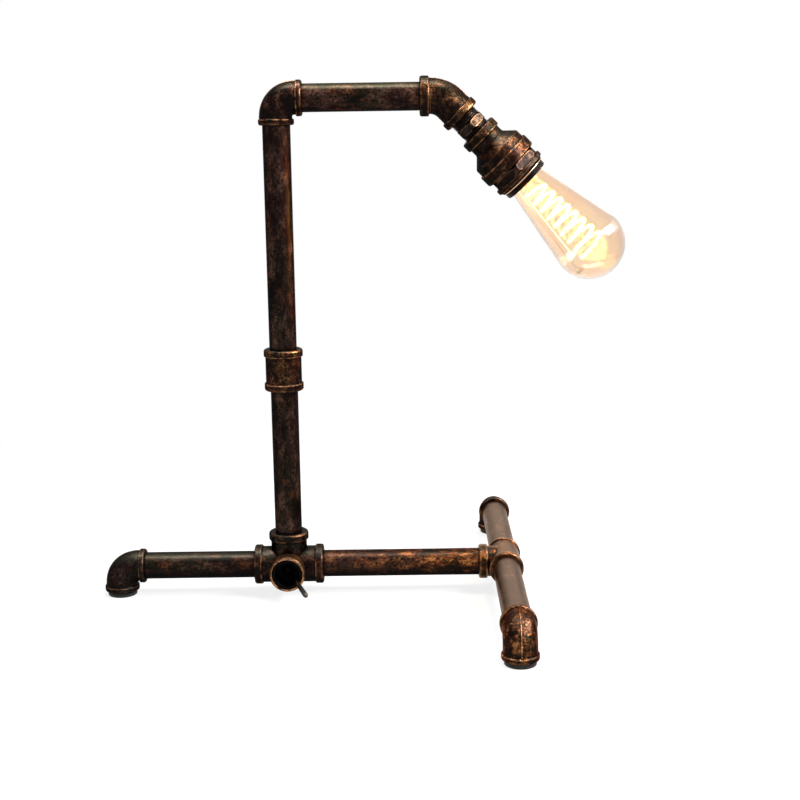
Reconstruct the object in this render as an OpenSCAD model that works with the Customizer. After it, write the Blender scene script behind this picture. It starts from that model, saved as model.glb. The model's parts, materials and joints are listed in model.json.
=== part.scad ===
// Industrial pipe table lamp: threaded tube and cast fittings, a toggle switch in the
// side outlet of the base cross, and a screw-base spiral filament bulb in a bell reducer.
// X runs along the base towards the T-bar, Y away from the switch, Z up from the table.

/* [Pipe] */
// Outside diameter of every tube
pipe_od = 25; // [24:0.5:26]
// Wall thickness of every tube
pipe_wall = 2.3; // [1.8:0.1:2.8]
// Length of tube held inside a fitting
engagement = 10; // [8:0.5:10]
// Radial clearance between a tube and the socket that holds it
socket_gap = 0.08; // [0.05:0.01:0.1]

/* [Layout] */
// Height of the arm's axis above the base tubes' axis
post_rise = 430; // [340:5:480]
// Height of the coupling's middle above the base tubes' axis
coupling_rise = 186.5; // [120:0.5:240]
// From the post's axis to the left foot's axis
foot_reach = 159; // [120:1:220]
// From the post's axis to the T-bar's axis
tee_reach = 203; // [150:1:260]
// From the T-bar's middle to the front or the rear foot's axis
bar_reach = 187; // [120:1:220]
// From the post's axis to the bend of the head's elbow
arm_reach = 147; // [100:1:220]
// Angle of the head below horizontal
head_angle = 45; // [30:5:60]

/* [Right-angle elbows] */
// Diameter of the cast body
elbow_body_d = 29.2; // [28.6:0.2:30.4]
// Height of the collars above the body
elbow_collar_h = 1.4; // [1.2:0.1:3.4]
// Width of the collars
elbow_collar_w = 5.5; // [4:0.5:7]
// Radius of the bend along its inner side
elbow_throat_r = 1.4; // [1:0.2:3]
// Straight body between the bend and either collar
elbow_neck = 2; // [1.5:0.5:8]

/* [Rubber feet] */
// Height of the foot below the elbow's collar
foot_h = 4; // [3:0.5:8]
// Diameter of the foot where it stands on the table
foot_d = 27; // [22:0.5:30]

/* [Tee] */
// Half of the length between the two run collars
tee_half = 25.8; // [24:0.2:32]
// From the run's axis to the branch collar's face
tee_branch_reach = 24.8; // [24:0.2:32]
// Width of the branch collar
tee_branch_collar_w = 8; // [5:0.5:9]
// Diameter of the branch's body
tee_branch_body_d = 28.6; // [28:0.2:29]

/* [Base cross] */
// From the cross's middle to the left, right or top collar's face
cross_reach = 32.3; // [31:0.1:38]
// Diameter of the body
cross_body_d = 34; // [32:0.5:36]
// Diameter of the three tube collars
cross_collar_d = 37; // [36.5:0.5:42]
// Width of the three tube collars
cross_collar_w = 7.4; // [5:0.2:9]
// From the cross's middle to the front outlet's rim
outlet_reach = 34; // [30:0.5:40]
// Diameter of the front outlet's rim
outlet_rim_d = 33; // [31.5:0.5:35]
// Width of the front outlet's rim
outlet_rim_w = 4; // [2:0.5:6]
// Diameter of the front outlet's body behind the rim
outlet_body_d = 31; // [30:0.5:31.5]

/* [Post coupling] */
// Length of the coupling
coupling_l = 38.2; // [32:0.2:50]
// Diameter of its body
coupling_body_d = 33; // [30:0.5:34]
// Diameter of its end collars
coupling_collar_d = 35.8; // [34.6:0.2:40]
// Width of its end collars
coupling_collar_w = 6.8; // [4:0.2:9]
// Space between the two tubes inside it
coupling_space = 2; // [1:0.5:4]

/* [Head elbow] */
// From the bend to the arm collar's face
head_in = 19.6; // [19.6:0.2:26]
// From the bend to the nipple collar's face
head_out = 26; // [25:0.5:32]
// Diameter of the cast body
head_body_d = 31.2; // [30:0.2:32]
// Diameter of the collars
head_collar_d = 35.6; // [34:0.2:38]
// Width of the arm collar
head_in_collar_w = 8.3; // [5:0.1:8.5]
// Width of the nipple collar
head_out_collar_w = 7.2; // [5:0.2:8]

/* [Hex nipple] */
// Diameter of its threads
nipple_thread_d = 25.6; // [24.4:0.2:25.8]
// Bore through it
nipple_bore_d = 16; // [10:0.5:18]
// Width of its hexagon across flats
nipple_hex_af = 26.6; // [26.2:0.2:30]
// Length of the hexagon
nipple_hex_w = 7.6; // [4:0.2:10]
// Thread left bare between the elbow and the hexagon
nipple_bare_in = 6.8; // [2:0.2:12]
// Thread left bare between the hexagon and the reducer
nipple_bare_out = 3.6; // [1:0.2:8]

/* [Bell reducer] */
// Diameter of the small collar
bell_collar_d = 36; // [34:0.5:38]
// Width of the small collar
bell_collar_w = 8.8; // [6:0.2:10]
// Diameter of the neck
bell_neck_d = 32; // [30:0.5:33]
// Length of the neck
bell_neck_l = 6.8; // [4:0.2:12]
// Length of the flare
bell_flare_l = 9; // [6:0.2:14]
// Diameter of the drum
bell_drum_d = 50.3; // [49.5:0.1:51]
// Length of the drum
bell_drum_l = 7; // [4:0.2:14]
// Height of the mouth band above the drum
bell_band_h = 1.85; // [1.4:0.05:3]
// Width of the mouth band
bell_band_w = 11.4; // [9:0.2:14]

/* [Mouth bushing] */
// Diameter of the part held in the reducer
bushing_thread_d = 44.6; // [43:0.1:45]
// Width of its hexagon across flats
bushing_hex_af = 46.4; // [46:0.2:50]
// Length of the hexagon
bushing_hex_w = 7.4; // [5:0.2:10]
// Diameter of its lip
bushing_lip_d = 51.4; // [51:0.2:56]
// Width of its lip
bushing_lip_w = 4.6; // [3:0.2:7]
// Diameter of its end behind the black ring
bushing_end_d = 48.4; // [46.8:0.2:50]
// Length of its end behind the black ring
bushing_end_w = 3.4; // [2:0.2:5]
// Bore that takes the lampholder
bushing_bore_d = 40.8; // [40.2:0.2:41.4]

/* [Lampholder] */
// Diameter of the ceramic body
holder_d = 40; // [38:0.5:40]
// Wall of the ceramic body
holder_wall = 4.2; // [3:0.2:4.6]
// Thickness of the ceramic body's floor
holder_floor = 6; // [4:0.5:7]
// Diameter of the black retaining ring
ring_d = 43.8; // [42:0.2:46]
// Height of the black retaining ring
ring_h = 4.4; // [3:0.2:7]
// Wall of the threaded brass shell
shell_wall = 0.6; // [0.4:0.1:1]
// Diameter of the terminal screws
terminal_d = 3; // [2.4:0.2:3.6]

/* [Bulb] */
// Largest diameter of the glass
bulb_d = 64.8; // [60:0.2:70]
// Length from the centre contact to the tip
bulb_l = 141; // [135:1:160]
// Half angle of the glass's straight flank
bulb_flank_angle = 11.1; // [10.2:0.1:12]
// Wall of the glass
bulb_wall = 0.9; // [0.6:0.1:1.2]
// Diameter of the screw cap
cap_d = 26.2; // [25.8:0.1:26.6]
// Length of the screw cap
cap_l = 22; // [20:0.5:24]
// Turns in the spiral filament
filament_turns = 8; // [5:1:12]
// Radius of the spiral at the cap's end
filament_r_in = 8.5; // [7:0.5:10]
// Radius of the spiral at the tip's end
filament_r_out = 13.5; // [10:0.5:16]
// Diameter of the filament
filament_d = 1.4; // [0.8:0.1:1.6]
// Diameter of the support wires
wire_d = 0.7; // [0.6:0.1:1]

/* [Toggle switch] */
// Diameter of the black bezel
bezel_d = 28.2; // [26.8:0.2:28.4]
// Depth of the bezel inside the outlet
bezel_depth = 18; // [17:0.5:19]
// From the outlet's rim back to the lever's pivot
pivot_drop = 15; // [13:0.5:15.5]
// Radius of the dome round the lever's ball
dome_r = 6.6; // [6.2:0.2:8]
// Radius of the lever's ball
ball_r = 4.4; // [4:0.1:4.6]
// Length of the lever from its pivot to its tip
lever_l = 45; // [30:0.5:48]
// Diameter of the lever at its tip
lever_tip_d = 4.8; // [4:0.2:5.4]
// Diameter of the lever at its root
lever_root_d = 2.8; // [2.4:0.2:3.6]
// Tilt of the lever to either side
lever_tilt = 31; // [15:1:32]
// Angle of the lever's swing plane below horizontal
lever_slant = 34; // [0:1:90]
// Side of the square switch body
switch_side = 12.6; // [11:0.2:13.6]
// Depth of the switch body
switch_depth = 9; // [8.5:0.5:10]

/* [Cord inlet] */
// Bore of the grommet
inlet_bore_d = 7; // [6:0.2:8]
// Diameter of the hole in the cross's rear wall
inlet_hole_d = 10.4; // [10:0.2:11.4]
// Diameter of the grommet's flange
inlet_flange_d = 15; // [13.6:0.2:17]
// Thickness of the grommet's flange
inlet_flange_w = 1.8; // [1.2:0.2:2.4]
// Diameter of the lead that runs inside the tubes
lead_d = 5.4; // [4:0.2:6.4]

/* [Hidden] */
$fn = 64;

// One overrun serves all cuts, and one seat all flat faces that rest on each other
cut = 1;
seat = 0.2;

// A straight leg laps the bend it carries on from, and stands this much proud of it
lap = 0.4;
proud = 0.08;

// Rounding of the cast collars, which makes beads of them, and of the fillets at their feet
cast_round = 2;
cast_fillet = 0.7;
arc_steps = 5;

// Shares of a collar's step that its rounding and its fillet may take
round_share = 0.5;
crown_share = 0.58;
fillet_share = 0.4;

// Bores and the waterway of the fittings
pipe_r = pipe_od / 2;
bore_d = pipe_od + 2 * socket_gap;
way_r = pipe_r - pipe_wall;

// Heights and places
elbow_bend_r = elbow_body_d / 2 + elbow_throat_r;
elbow_collar_d = elbow_body_d + 2 * elbow_collar_h;
// From the elbow's corner to either collar's face
elbow_reach = elbow_bend_r + elbow_neck + elbow_collar_w;
base_z = elbow_reach + foot_h;
arm_z = base_z + post_rise;
coupling_z = base_z + coupling_rise;

// Places along the head's axis, from the bend of the head's elbow
hex_at = head_out + nipple_bare_in;
bell_at = hex_at + nipple_hex_w + nipple_bare_out;
neck_at = bell_at + bell_collar_w;
flare_at = neck_at + bell_neck_l;
drum_at = flare_at + bell_flare_l;
band_at = drum_at + bell_drum_l;
bell_end = band_at + bell_band_w;
lip_at = bell_end + bushing_hex_w;
bushing_end_at = lip_at + bushing_lip_w;
ring_at = bushing_end_at + bushing_end_w;
ring_end = ring_at + ring_h;

// The cap's rim lies this far inside the ring's face, and the flank starts at the ring
cap_inset = 2.6;
cap_end = ring_end - cap_inset;
insulator_h = 3.2;
contact_h = 1.2;
bulb_start = cap_end - cap_l - insulator_h - contact_h;
bulb_tip = bulb_start + bulb_l;
bulb_r = bulb_d / 2;
bulb_centre = bulb_tip - bulb_r;

// Largest reach of the glass to the right of the post, and the box's middle
bulb_right = arm_reach + bulb_centre * cos(head_angle) + bulb_r;
post_x = (foot_reach + elbow_collar_d / 2 - bulb_right) / 2;
left_x = post_x - foot_reach;
tee_x = post_x + tee_reach;
bend_x = post_x + arm_reach;

// Directions: each turns the local Z axis
module to_left() { rotate([0, -90, 0]) children(); }
module to_right() { rotate([0, 90, 0]) children(); }
module to_front() { rotate([90, 0, 0]) children(); }
module to_rear() { rotate([-90, 0, 0]) children(); }
module on_base() { translate([post_x, 0, base_z]) children(); }
module on_head() { translate([bend_x, 0, arm_z]) rotate([0, 90 + head_angle, 0]) children(); }

function unit(v) = v / norm(v);

// Points of the arc that rounds corner q between p and s
function corner_arc(p, q, s, r, n = arc_steps) =
    let (u = unit(p - q), v = unit(s - q), half = acos(u * v) / 2)
    let (c = q + unit(u + v) * r / sin(half), t = r / tan(half))
    let (a = q + u * t - c, b = q + v * t - c)
    let (a0 = atan2(a.y, a.x), turn = (atan2(b.y, b.x) - a0 + 540) % 360 - 180)
    [for (i = [0:n]) c + r * [cos(a0 + turn * i / n), sin(a0 + turn * i / n)]];

// An outline given as [x, y, corner radius], with its corners rounded
function rounded(list, n = arc_steps) =
    let (m = len(list), at = function (i) [list[(i + m) % m].x, list[(i + m) % m].y])
    [for (i = [0:m - 1]) each
        list[i].z == 0 ? [at(i)] : corner_arc(at(i - 1), at(i), at(i + 1), list[i].z, n)];

// One end of a fitting along Z: its body, then a rounded collar that stands on a fillet
module fitting_end(start, reach, body_d, collar_d, collar_w) {
    step = (collar_d - body_d) / 2;
    foot = min(cast_fillet, step * fillet_share);
    rotate_extrude()
        polygon(rounded([
            [0, start, 0], [body_d / 2, start, 0],
            [body_d / 2, reach - collar_w, foot],
            [collar_d / 2, reach - collar_w, min(cast_round, step * crown_share)],
            [collar_d / 2, reach, min(cast_round, collar_w * fillet_share)], [0, reach, 0]
        ]));
}

// Socket for a tube along Z, from its stop to past the collar's face
module socket(stop, reach, d = bore_d) {
    translate([0, 0, stop]) cylinder(d = d, h = reach - stop + cut);
}

// Part of a ring that turns from -X down by an angle, its ends square to both legs
module bend(r, bend_r, angle) {
    translate([-bend_r * tan(angle / 2), 0, -bend_r])
        rotate([90, 0, 0])
        rotate([0, 0, 90 - angle])
        rotate_extrude(angle = angle)
        translate([bend_r, 0])
        circle(r = r);
}

// Bead that the mould's parting leaves along a bend's outer side, with a straight end on each leg
module parting_seam(body_r, bend_r, angle, leg_in, leg_out) {
    start = bend_r * tan(angle / 2);
    translate([-start, 0, -bend_r])
        rotate([90, 0, 0])
        rotate([0, 0, 90 - angle])
        rotate_extrude(angle = angle)
        translate([bend_r + body_r, 0])
        circle(r = seam_r);
    to_left() translate([body_r, 0, start - lap]) cylinder(r = seam_r + proud, h = leg_in - start + lap);
    rotate([0, 90 + angle, 0])
        translate([-body_r, 0, start - lap])
        cylinder(r = seam_r + proud, h = leg_out - start + lap);
}
seam_r = 0.45;

// Cast right-angle elbow: one leg towards -X and one towards -Z
module elbow_90() {
    stop = elbow_reach - engagement;
    difference() {
        union() {
            bend(elbow_body_d / 2, elbow_bend_r, 90);
            parting_seam(elbow_body_d / 2, elbow_bend_r, 90, elbow_reach - lap, elbow_reach - lap);
            to_left() fitting_end(elbow_bend_r, elbow_reach, elbow_body_d, elbow_collar_d, elbow_collar_w);
            rotate([180, 0, 0])
                fitting_end(elbow_bend_r, elbow_reach, elbow_body_d, elbow_collar_d, elbow_collar_w);
        }
        bend(way_r, stop, 90);
        to_left() socket(stop, elbow_reach);
        rotate([180, 0, 0]) socket(stop, elbow_reach);
    }
}

// Tube along Z between two places
module tube(from, to) {
    translate([0, 0, from])
        difference() {
            cylinder(r = pipe_r, h = to - from);
            translate([0, 0, -cut]) cylinder(r = way_r, h = to - from + 2 * cut);
        }
}

// Rubber foot: a plug in the elbow's open socket and a pad with a rounded edge below it
module foot_pad() {
    plug_r = bore_d / 2 - socket_gap;
    hollow_r = plug_r * plug_hollow_share;
    rotate_extrude()
        polygon(rounded([
            [0, 0, 0], [foot_d / 2, 0, foot_round], [foot_d / 2, foot_h - seat, foot_round],
            [plug_r, foot_h - seat, 0], [plug_r, foot_h + plug_l, plug_chamfer],
            [hollow_r, foot_h + plug_l, 0], [hollow_r, foot_h, 0], [0, foot_h, 0]
        ]));
}
plug_hollow_share = 0.6;
plug_l = 8;
plug_chamfer = 0.8;
foot_round = 0.8;

module left_foot_elbow() { color("#4a3022") translate([left_x, 0, base_z]) rotate([0, 0, 180]) elbow_90(); }
module front_foot_elbow() {
    color("#4a3022") translate([tee_x, -bar_reach, base_z]) rotate([0, 0, -90]) elbow_90();
}
module rear_foot_elbow() { color("#4a3022") translate([tee_x, bar_reach, base_z]) rotate([0, 0, 90]) elbow_90(); }
module left_foot_pad() { color("#191715") translate([left_x, 0, 0]) foot_pad(); }
module front_foot_pad() { color("#191715") translate([tee_x, -bar_reach, 0]) foot_pad(); }
module rear_foot_pad() { color("#191715") translate([tee_x, bar_reach, 0]) foot_pad(); }

module base_pipe_left() {
    color("#4a3022") on_base()
        to_left() tube(cross_reach - engagement + seat, foot_reach - elbow_reach + engagement - seat);
}
module base_pipe_right() {
    color("#4a3022") on_base()
        to_right() tube(cross_reach - engagement + seat, tee_reach - tee_branch_reach + engagement - seat);
}
module bar_pipe() {
    tube(tee_half - engagement + seat, bar_reach - elbow_reach + engagement - seat);
}
module bar_pipe_front() { color("#4a3022") translate([tee_x, 0, base_z]) to_front() bar_pipe(); }
module bar_pipe_rear() { color("#4a3022") translate([tee_x, 0, base_z]) to_rear() bar_pipe(); }

// Side-outlet cross: tube sockets left, right and on top, the switch outlet in front,
// and a spot-faced hole for the cord's grommet in the rear wall
module base_cross() {
    stop = cross_reach - engagement;
    rear_flat = inlet_face();
    color("#402a1e") on_base()
        difference() {
            union() {
                to_left() fitting_end(0, cross_reach, cross_body_d, cross_collar_d, cross_collar_w);
                to_right() fitting_end(0, cross_reach, cross_body_d, cross_collar_d, cross_collar_w);
                fitting_end(0, cross_reach, cross_body_d - cross_relief, cross_collar_d, cross_collar_w);
                to_front() fitting_end(0, outlet_reach, outlet_body_d, outlet_rim_d, outlet_rim_w);
            }
            to_left() socket(stop, cross_reach);
            to_right() socket(stop, cross_reach);
            socket(stop, cross_reach);
            to_front() socket(outlet_reach - bezel_depth - seat, outlet_reach, bezel_d + 2 * seat);
            translate([-stop - cut, 0, 0]) to_right() cylinder(r = way_r, h = 2 * (stop + cut));
            cylinder(r = way_r - cross_relief, h = stop + cut);
            to_front() cylinder(r = outlet_way_r, h = outlet_reach - bezel_depth);
            to_rear() cylinder(d = inlet_hole_d, h = cross_body_d);
            translate([0, rear_flat, 0]) to_rear() cylinder(d = inlet_flange_d + 2 * cut, h = cross_body_d);
        }
}
// The rising and front branches are this much thinner than the run, as the mould parts them
cross_relief = 0.6;
outlet_way_r = way_r + cross_relief;
// Distance of the spot face from the cross's axis: as deep as the flange needs a flat seat
function inlet_face() = sqrt(pow(cross_body_d / 2, 2) - pow(inlet_flange_d / 2 + cut, 2));

module base_tee() {
    stop = tee_half - engagement;
    branch_stop = tee_branch_reach - engagement;
    color("#4a3022") translate([tee_x, 0, base_z])
        difference() {
            union() {
                to_front() fitting_end(0, tee_half, elbow_body_d, elbow_collar_d, elbow_collar_w);
                to_rear() fitting_end(0, tee_half, elbow_body_d, elbow_collar_d, elbow_collar_w);
                to_left()
                    fitting_end(0, tee_branch_reach, tee_branch_body_d, elbow_collar_d, tee_branch_collar_w);
            }
            to_front() socket(stop, tee_half);
            to_rear() socket(stop, tee_half);
            to_left() socket(branch_stop, tee_branch_reach);
            translate([0, -stop - cut, 0]) to_rear() cylinder(r = way_r, h = 2 * (stop + cut));
            to_left() cylinder(r = way_r - cross_relief, h = branch_stop + cut);
        }
}

module post_pipe_lower() {
    color("#4a3022") on_base() tube(cross_reach - engagement + seat, coupling_rise - coupling_space / 2);
}
module post_pipe_upper() {
    color("#4a3022") on_base()
        tube(coupling_rise + coupling_space / 2, post_rise - elbow_reach + engagement - seat);
}

// Straight coupling: a revolved sleeve with a rounded collar at each end
module post_coupling() {
    half = coupling_l / 2;
    color("#402a1e") translate([post_x, 0, coupling_z])
        difference() {
            union() {
                fitting_end(0, half, coupling_body_d, coupling_collar_d, coupling_collar_w);
                rotate([180, 0, 0])
                    fitting_end(0, half, coupling_body_d, coupling_collar_d, coupling_collar_w);
            }
            translate([0, 0, -half - cut]) cylinder(d = bore_d, h = coupling_l + 2 * cut);
        }
}

module top_elbow() { color("#4a3022") translate([post_x, 0, arm_z]) rotate([0, 0, 180]) elbow_90(); }
module arm_pipe() {
    color("#4a3022") translate([post_x, 0, arm_z])
        to_right() tube(elbow_reach - engagement + seat, arm_reach - head_in + engagement - seat);
}

// Cast elbow that turns the head down, with wider collars than the others
module head_elbow() {
    stop = head_in - engagement;
    way_bend_r = stop / tan(head_angle / 2);
    body_bend_r = (head_in - head_in_collar_w) * head_bend_share / tan(head_angle / 2);
    start = body_bend_r * tan(head_angle / 2);
    out_stop = head_out - engagement;
    leg_d = head_body_d + 2 * proud;
    color("#4a3022") translate([bend_x, 0, arm_z])
        difference() {
            union() {
                bend(head_body_d / 2, body_bend_r, head_angle);
                parting_seam(head_body_d / 2, body_bend_r, head_angle, head_in - lap, head_out - lap);
                to_left() fitting_end(start - lap, head_in, leg_d, head_collar_d, head_in_collar_w);
                rotate([0, 90 + head_angle, 0])
                    fitting_end(start - lap, head_out, leg_d, head_collar_d, head_out_collar_w);
            }
            bend(way_r, way_bend_r, head_angle);
            to_left() socket(stop - lap, head_in);
            rotate([0, 90 + head_angle, 0]) {
                translate([0, 0, stop - lap]) cylinder(r = way_r + proud, h = out_stop - stop + cut);
                socket(out_stop, head_out, nipple_thread_d + 2 * socket_gap);
            }
        }
}
head_bend_share = 0.95;

// Hexagon with the flats square to the head's plane and its corners turned off round
module hex_collar(af, limit_d, length) {
    edge = min(hex_round, length * fillet_share);
    intersection() {
        rotate([0, 0, 30]) cylinder(d = af / cos(30), h = length, $fn = 6);
        rotate_extrude()
            polygon(rounded([
                [0, 0, 0], [limit_d / 2, 0, edge], [limit_d / 2, length, edge], [0, length, 0]
            ], hex_steps));
    }
}
hex_round = 2;
hex_steps = 3;

module hex_nipple() {
    tail_in = engagement - seat;
    tail_out = nipple_bare_out + bell_collar_w;
    color("#6a4028") on_head()
        difference() {
            union() {
                translate([0, 0, head_out - tail_in])
                    cylinder(d = nipple_thread_d, h = tail_in + nipple_bare_in + seat);
                translate([0, 0, hex_at]) hex_collar(nipple_hex_af, nipple_hex_af * nipple_corner_share, nipple_hex_w);
                translate([0, 0, hex_at + nipple_hex_w - seat])
                    cylinder(d = nipple_thread_d, h = tail_out + seat);
            }
            cylinder(d = nipple_bore_d, h = bell_end);
        }
}
nipple_corner_share = 1.12;

// Bell reducer: small collar, neck, flare, drum and mouth band, in one revolve with its bores
module bell_reducer() {
    small_r = nipple_thread_d / 2 + socket_gap;
    mouth_r = bushing_thread_d / 2 + socket_gap;
    flare_r = bell_drum_d / 2 - bell_wall;
    band_r = bell_drum_d / 2 + bell_band_h;
    step = (bell_collar_d - bell_neck_d) / 2;
    color("#402a1e") on_head()
        rotate_extrude()
        polygon(rounded([
            [small_r, bell_at, 0],
            [bell_collar_d / 2, bell_at, min(cast_round, bell_collar_w * fillet_share)],
            [bell_collar_d / 2, neck_at, min(cast_round, step * crown_share)],
            [bell_neck_d / 2, neck_at, min(cast_fillet, step * fillet_share)],
            [bell_neck_d / 2, flare_at, bell_flare_round],
            [bell_drum_d / 2, drum_at, bell_flare_round],
            [bell_drum_d / 2, band_at, bell_band_h * fillet_share],
            [band_r, band_at, bell_band_h * crown_share],
            [band_r, bell_end, min(cast_round, bell_band_w * fillet_share)], [mouth_r, bell_end, 0],
            [mouth_r, bell_end - bushing_tail, 0], [flare_r, bell_end - bushing_tail, 0],
            [flare_r, drum_at, bell_flare_round],
            [nipple_bore_d / 2, neck_at + seat + bell_wall, 0],
            [nipple_bore_d / 2, neck_at + seat, 0], [small_r, neck_at + seat, 0]
        ]));
}
bell_wall = 3;
bell_flare_round = 3;
bushing_tail = 9;

// Bushing that closes the reducer's mouth round the lampholder
module mouth_bushing() {
    edge = min(cast_round, bushing_lip_w * fillet_share, (bushing_lip_d - bushing_end_d) * fillet_share);
    color("#6a4028") on_head()
        difference() {
            union() {
                translate([0, 0, bell_end - bushing_tail + seat])
                    cylinder(d = bushing_thread_d, h = bushing_tail);
                translate([0, 0, bell_end + seat]) hex_collar(bushing_hex_af, bushing_lip_d, bushing_hex_w);
                rotate_extrude()
                    polygon(rounded([
                        [0, lip_at, 0], [bushing_lip_d / 2, lip_at, edge],
                        [bushing_lip_d / 2, bushing_end_at, edge],
                        [bushing_end_d / 2, bushing_end_at, 0],
                        [ring_d / 2 + seat, ring_at, 0], [0, ring_at, 0]
                    ]));
            }
            cylinder(d = bushing_bore_d, h = ring_end);
        }
}

// Front face of the ceramic floor, one leaf below the bulb's contact, and its rear face
leaf_t = 0.8;
holder_floor_at = bulb_start - contact_h - leaf_t - 2 * seat;
holder_at = holder_floor_at - holder_floor;

// Ceramic lampholder: a cup with a floor, a lead hole and two terminal screw holes
module holder_body() {
    start = holder_at;
    color("#e8e2d6") on_head()
        difference() {
            rotate_extrude()
                polygon(rounded([
                    [0, start, 0], [holder_d / 2, start, holder_round],
                    [holder_d / 2, ring_at - seat, 0],
                    [holder_d / 2 - holder_wall, ring_at - seat, 0],
                    [holder_d / 2 - holder_wall, start + holder_floor, 0],
                    [0, start + holder_floor, 0]
                ]));
            for (side = [-1, 1])
                translate([0, side * terminal_at, start - cut])
                    cylinder(d = terminal_d + 2 * seat, h = holder_floor + 2 * cut);
        }
}
holder_round = 1.5;
terminal_at = 7.5;

// Brass sleeve that takes the bulb's screw cap
module holder_shell() {
    inner_r = cap_d / 2 + seat;
    start = holder_floor_at + seat;
    color("#b08d4a") on_head()
        difference() {
            translate([0, 0, start]) cylinder(r = inner_r + shell_wall, h = ring_at - seat - start);
            translate([0, 0, start - cut]) cylinder(r = inner_r, h = ring_at - start + cut);
        }
}

// Centre contact leaf under the bulb's contact
module holder_contact() {
    color("#b08d4a") on_head()
        translate([0, 0, bulb_start - contact_h - leaf_t - seat]) {
            translate([-leaf_w / 2, -terminal_at, 0]) cube([leaf_w, 2 * terminal_at - terminal_d - cut, leaf_t]);
            cylinder(d = leaf_w, h = leaf_t + contact_h);
        }
}
leaf_w = 6;

// Two terminal screws through the floor: one holds the leaf, one the shell's tab
module holder_screws() {
    start = holder_at;
    color("#9a9a96") on_head()
        for (side = [-1, 1])
            translate([0, side * terminal_at, start - terminal_head_h - seat]) {
                cylinder(d = terminal_d * terminal_head_share, h = terminal_head_h);
                cylinder(d = terminal_d, h = terminal_head_h + holder_floor + seat);
            }
}
terminal_head_h = 2;
terminal_head_share = 1.9;

// Black threaded ring that holds the lampholder against the bushing
module holder_ring() {
    bore_r = flank_r(ring_end) + ring_space;
    color("#121212") on_head()
        rotate_extrude()
        polygon(rounded([
            [bore_r, ring_at, 0], [ring_d / 2, ring_at, 0],
            [ring_d / 2, ring_end, ring_round], [bore_r, ring_end, ring_round]
        ]));
}
ring_round = 0.9;
ring_space = 0.9;

// Outline of the glass, drawn in by a distance: neck, straight flank and round end
flank_top = bulb_centre - bulb_r * sin(bulb_flank_angle);
cap_wall = 0.5;
neck_r = cap_d / 2 - cap_wall - seat;
function flank_r(s) = bulb_r * cos(bulb_flank_angle) - (flank_top - s) * tan(bulb_flank_angle);
function glass_outline(inset) =
    let (end_r = bulb_r - inset, low = neck_top + neck_shoulder)
    let (side = inset / cos(bulb_flank_angle))
    rounded([
        [neck_r - inset, cap_end - neck_l, 0], [neck_r - inset, neck_top, neck_round],
        [flank_r(low) - side, low, neck_round],
        for (i = [0:dome_steps])
            let (a = -bulb_flank_angle + (90 + bulb_flank_angle) * i / dome_steps)
            [end_r * cos(a), bulb_centre + end_r * sin(a), 0]
    ]);
neck_top = cap_end - cap_inset;
neck_shoulder = 4.6;
neck_round = 2;
neck_l = 8;
dome_steps = 24;

module bulb_glass() {
    outer = glass_outline(0);
    inner = glass_outline(bulb_wall);
    color("#e8b27e", 0.35) on_head()
        rotate_extrude() polygon(concat(outer, [for (i = [len(inner) - 1:-1:0]) inner[i]]));
}

// Screw cap: a brass cup round the glass neck, drawn in round the insulator
module bulb_cap() {
    r = cap_d / 2;
    start = bulb_start + contact_h + insulator_h;
    color("#b9a67a") on_head()
        rotate_extrude()
        polygon(rounded([
            [insulator_r + seat, start, 0], [r, start, cap_round], [r, cap_end - neck_gap, 0],
            [r - cap_wall, cap_end - neck_gap, 0],
            [r - cap_wall, start + cap_wall, cap_round - cap_wall],
            [insulator_r + seat, start + cap_wall, 0]
        ]));
}
cap_round = 3;
neck_gap = cap_inset + neck_round;
insulator_r = 8.6;

module bulb_insulator() {
    start = bulb_start + contact_h;
    color("#141414") on_head()
        rotate_extrude()
        polygon([
            [0, start], [bulb_contact_r, start], [insulator_r, start + insulator_h - cap_wall],
            [insulator_r, start + insulator_h + cap_wall], [0, start + insulator_h + cap_wall]
        ]);
}
bulb_contact_r = 5;

module bulb_contact() {
    color("#c9c2b4") on_head()
        rotate_extrude()
        polygon(rounded([
            [0, bulb_start, 0], [bulb_contact_r * contact_share, bulb_start, contact_h * round_share],
            [bulb_contact_r * contact_share, bulb_start + contact_h, 0], [0, bulb_start + contact_h, 0]
        ]));
}
contact_share = 0.9;

// Glass stem: a flare sealed in the neck, a pinch, and a rod that ends in a button
module bulb_stem() {
    flare_r = neck_r - bulb_wall - seat;
    start = cap_end - neck_l;
    color("#e9d9c4", 0.6) on_head()
        rotate_extrude()
        polygon(rounded([
            [0, start, 0], [flare_r, start, 0], [flare_r, start + cut, 0],
            [pinch_r, start + neck_l, stem_round], [pinch_r, pinch_end, pinch_round],
            [rod_r, pinch_end, 0], [rod_r, filament_end, 0], [button_r, filament_end + button_r, 0],
            [rod_r, filament_end + 2 * button_r, 0], [0, filament_end + 2 * button_r, 0]
        ], 3));
}
pinch_r = 4;
pinch_end = ring_end + 4;
rod_r = 1.4;
button_r = 2.4;
stem_round = 2;
pinch_round = 0.6;

// Places of the filament's ends along the head's axis
filament_start = ring_end + 9;
filament_inset = 27;
filament_end = bulb_tip - filament_inset;
ring_steps = 24;
tube_sides = 6;

// Centre line of the spiral: its radius grows steadily towards the tip
function spiral(k) =
    let (share = k / (filament_turns * ring_steps), a = 360 * k / ring_steps)
    let (r = filament_r_in + (filament_r_out - filament_r_in) * share)
    [r * cos(a), r * sin(a), filament_start + (filament_end - filament_start) * share];

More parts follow.
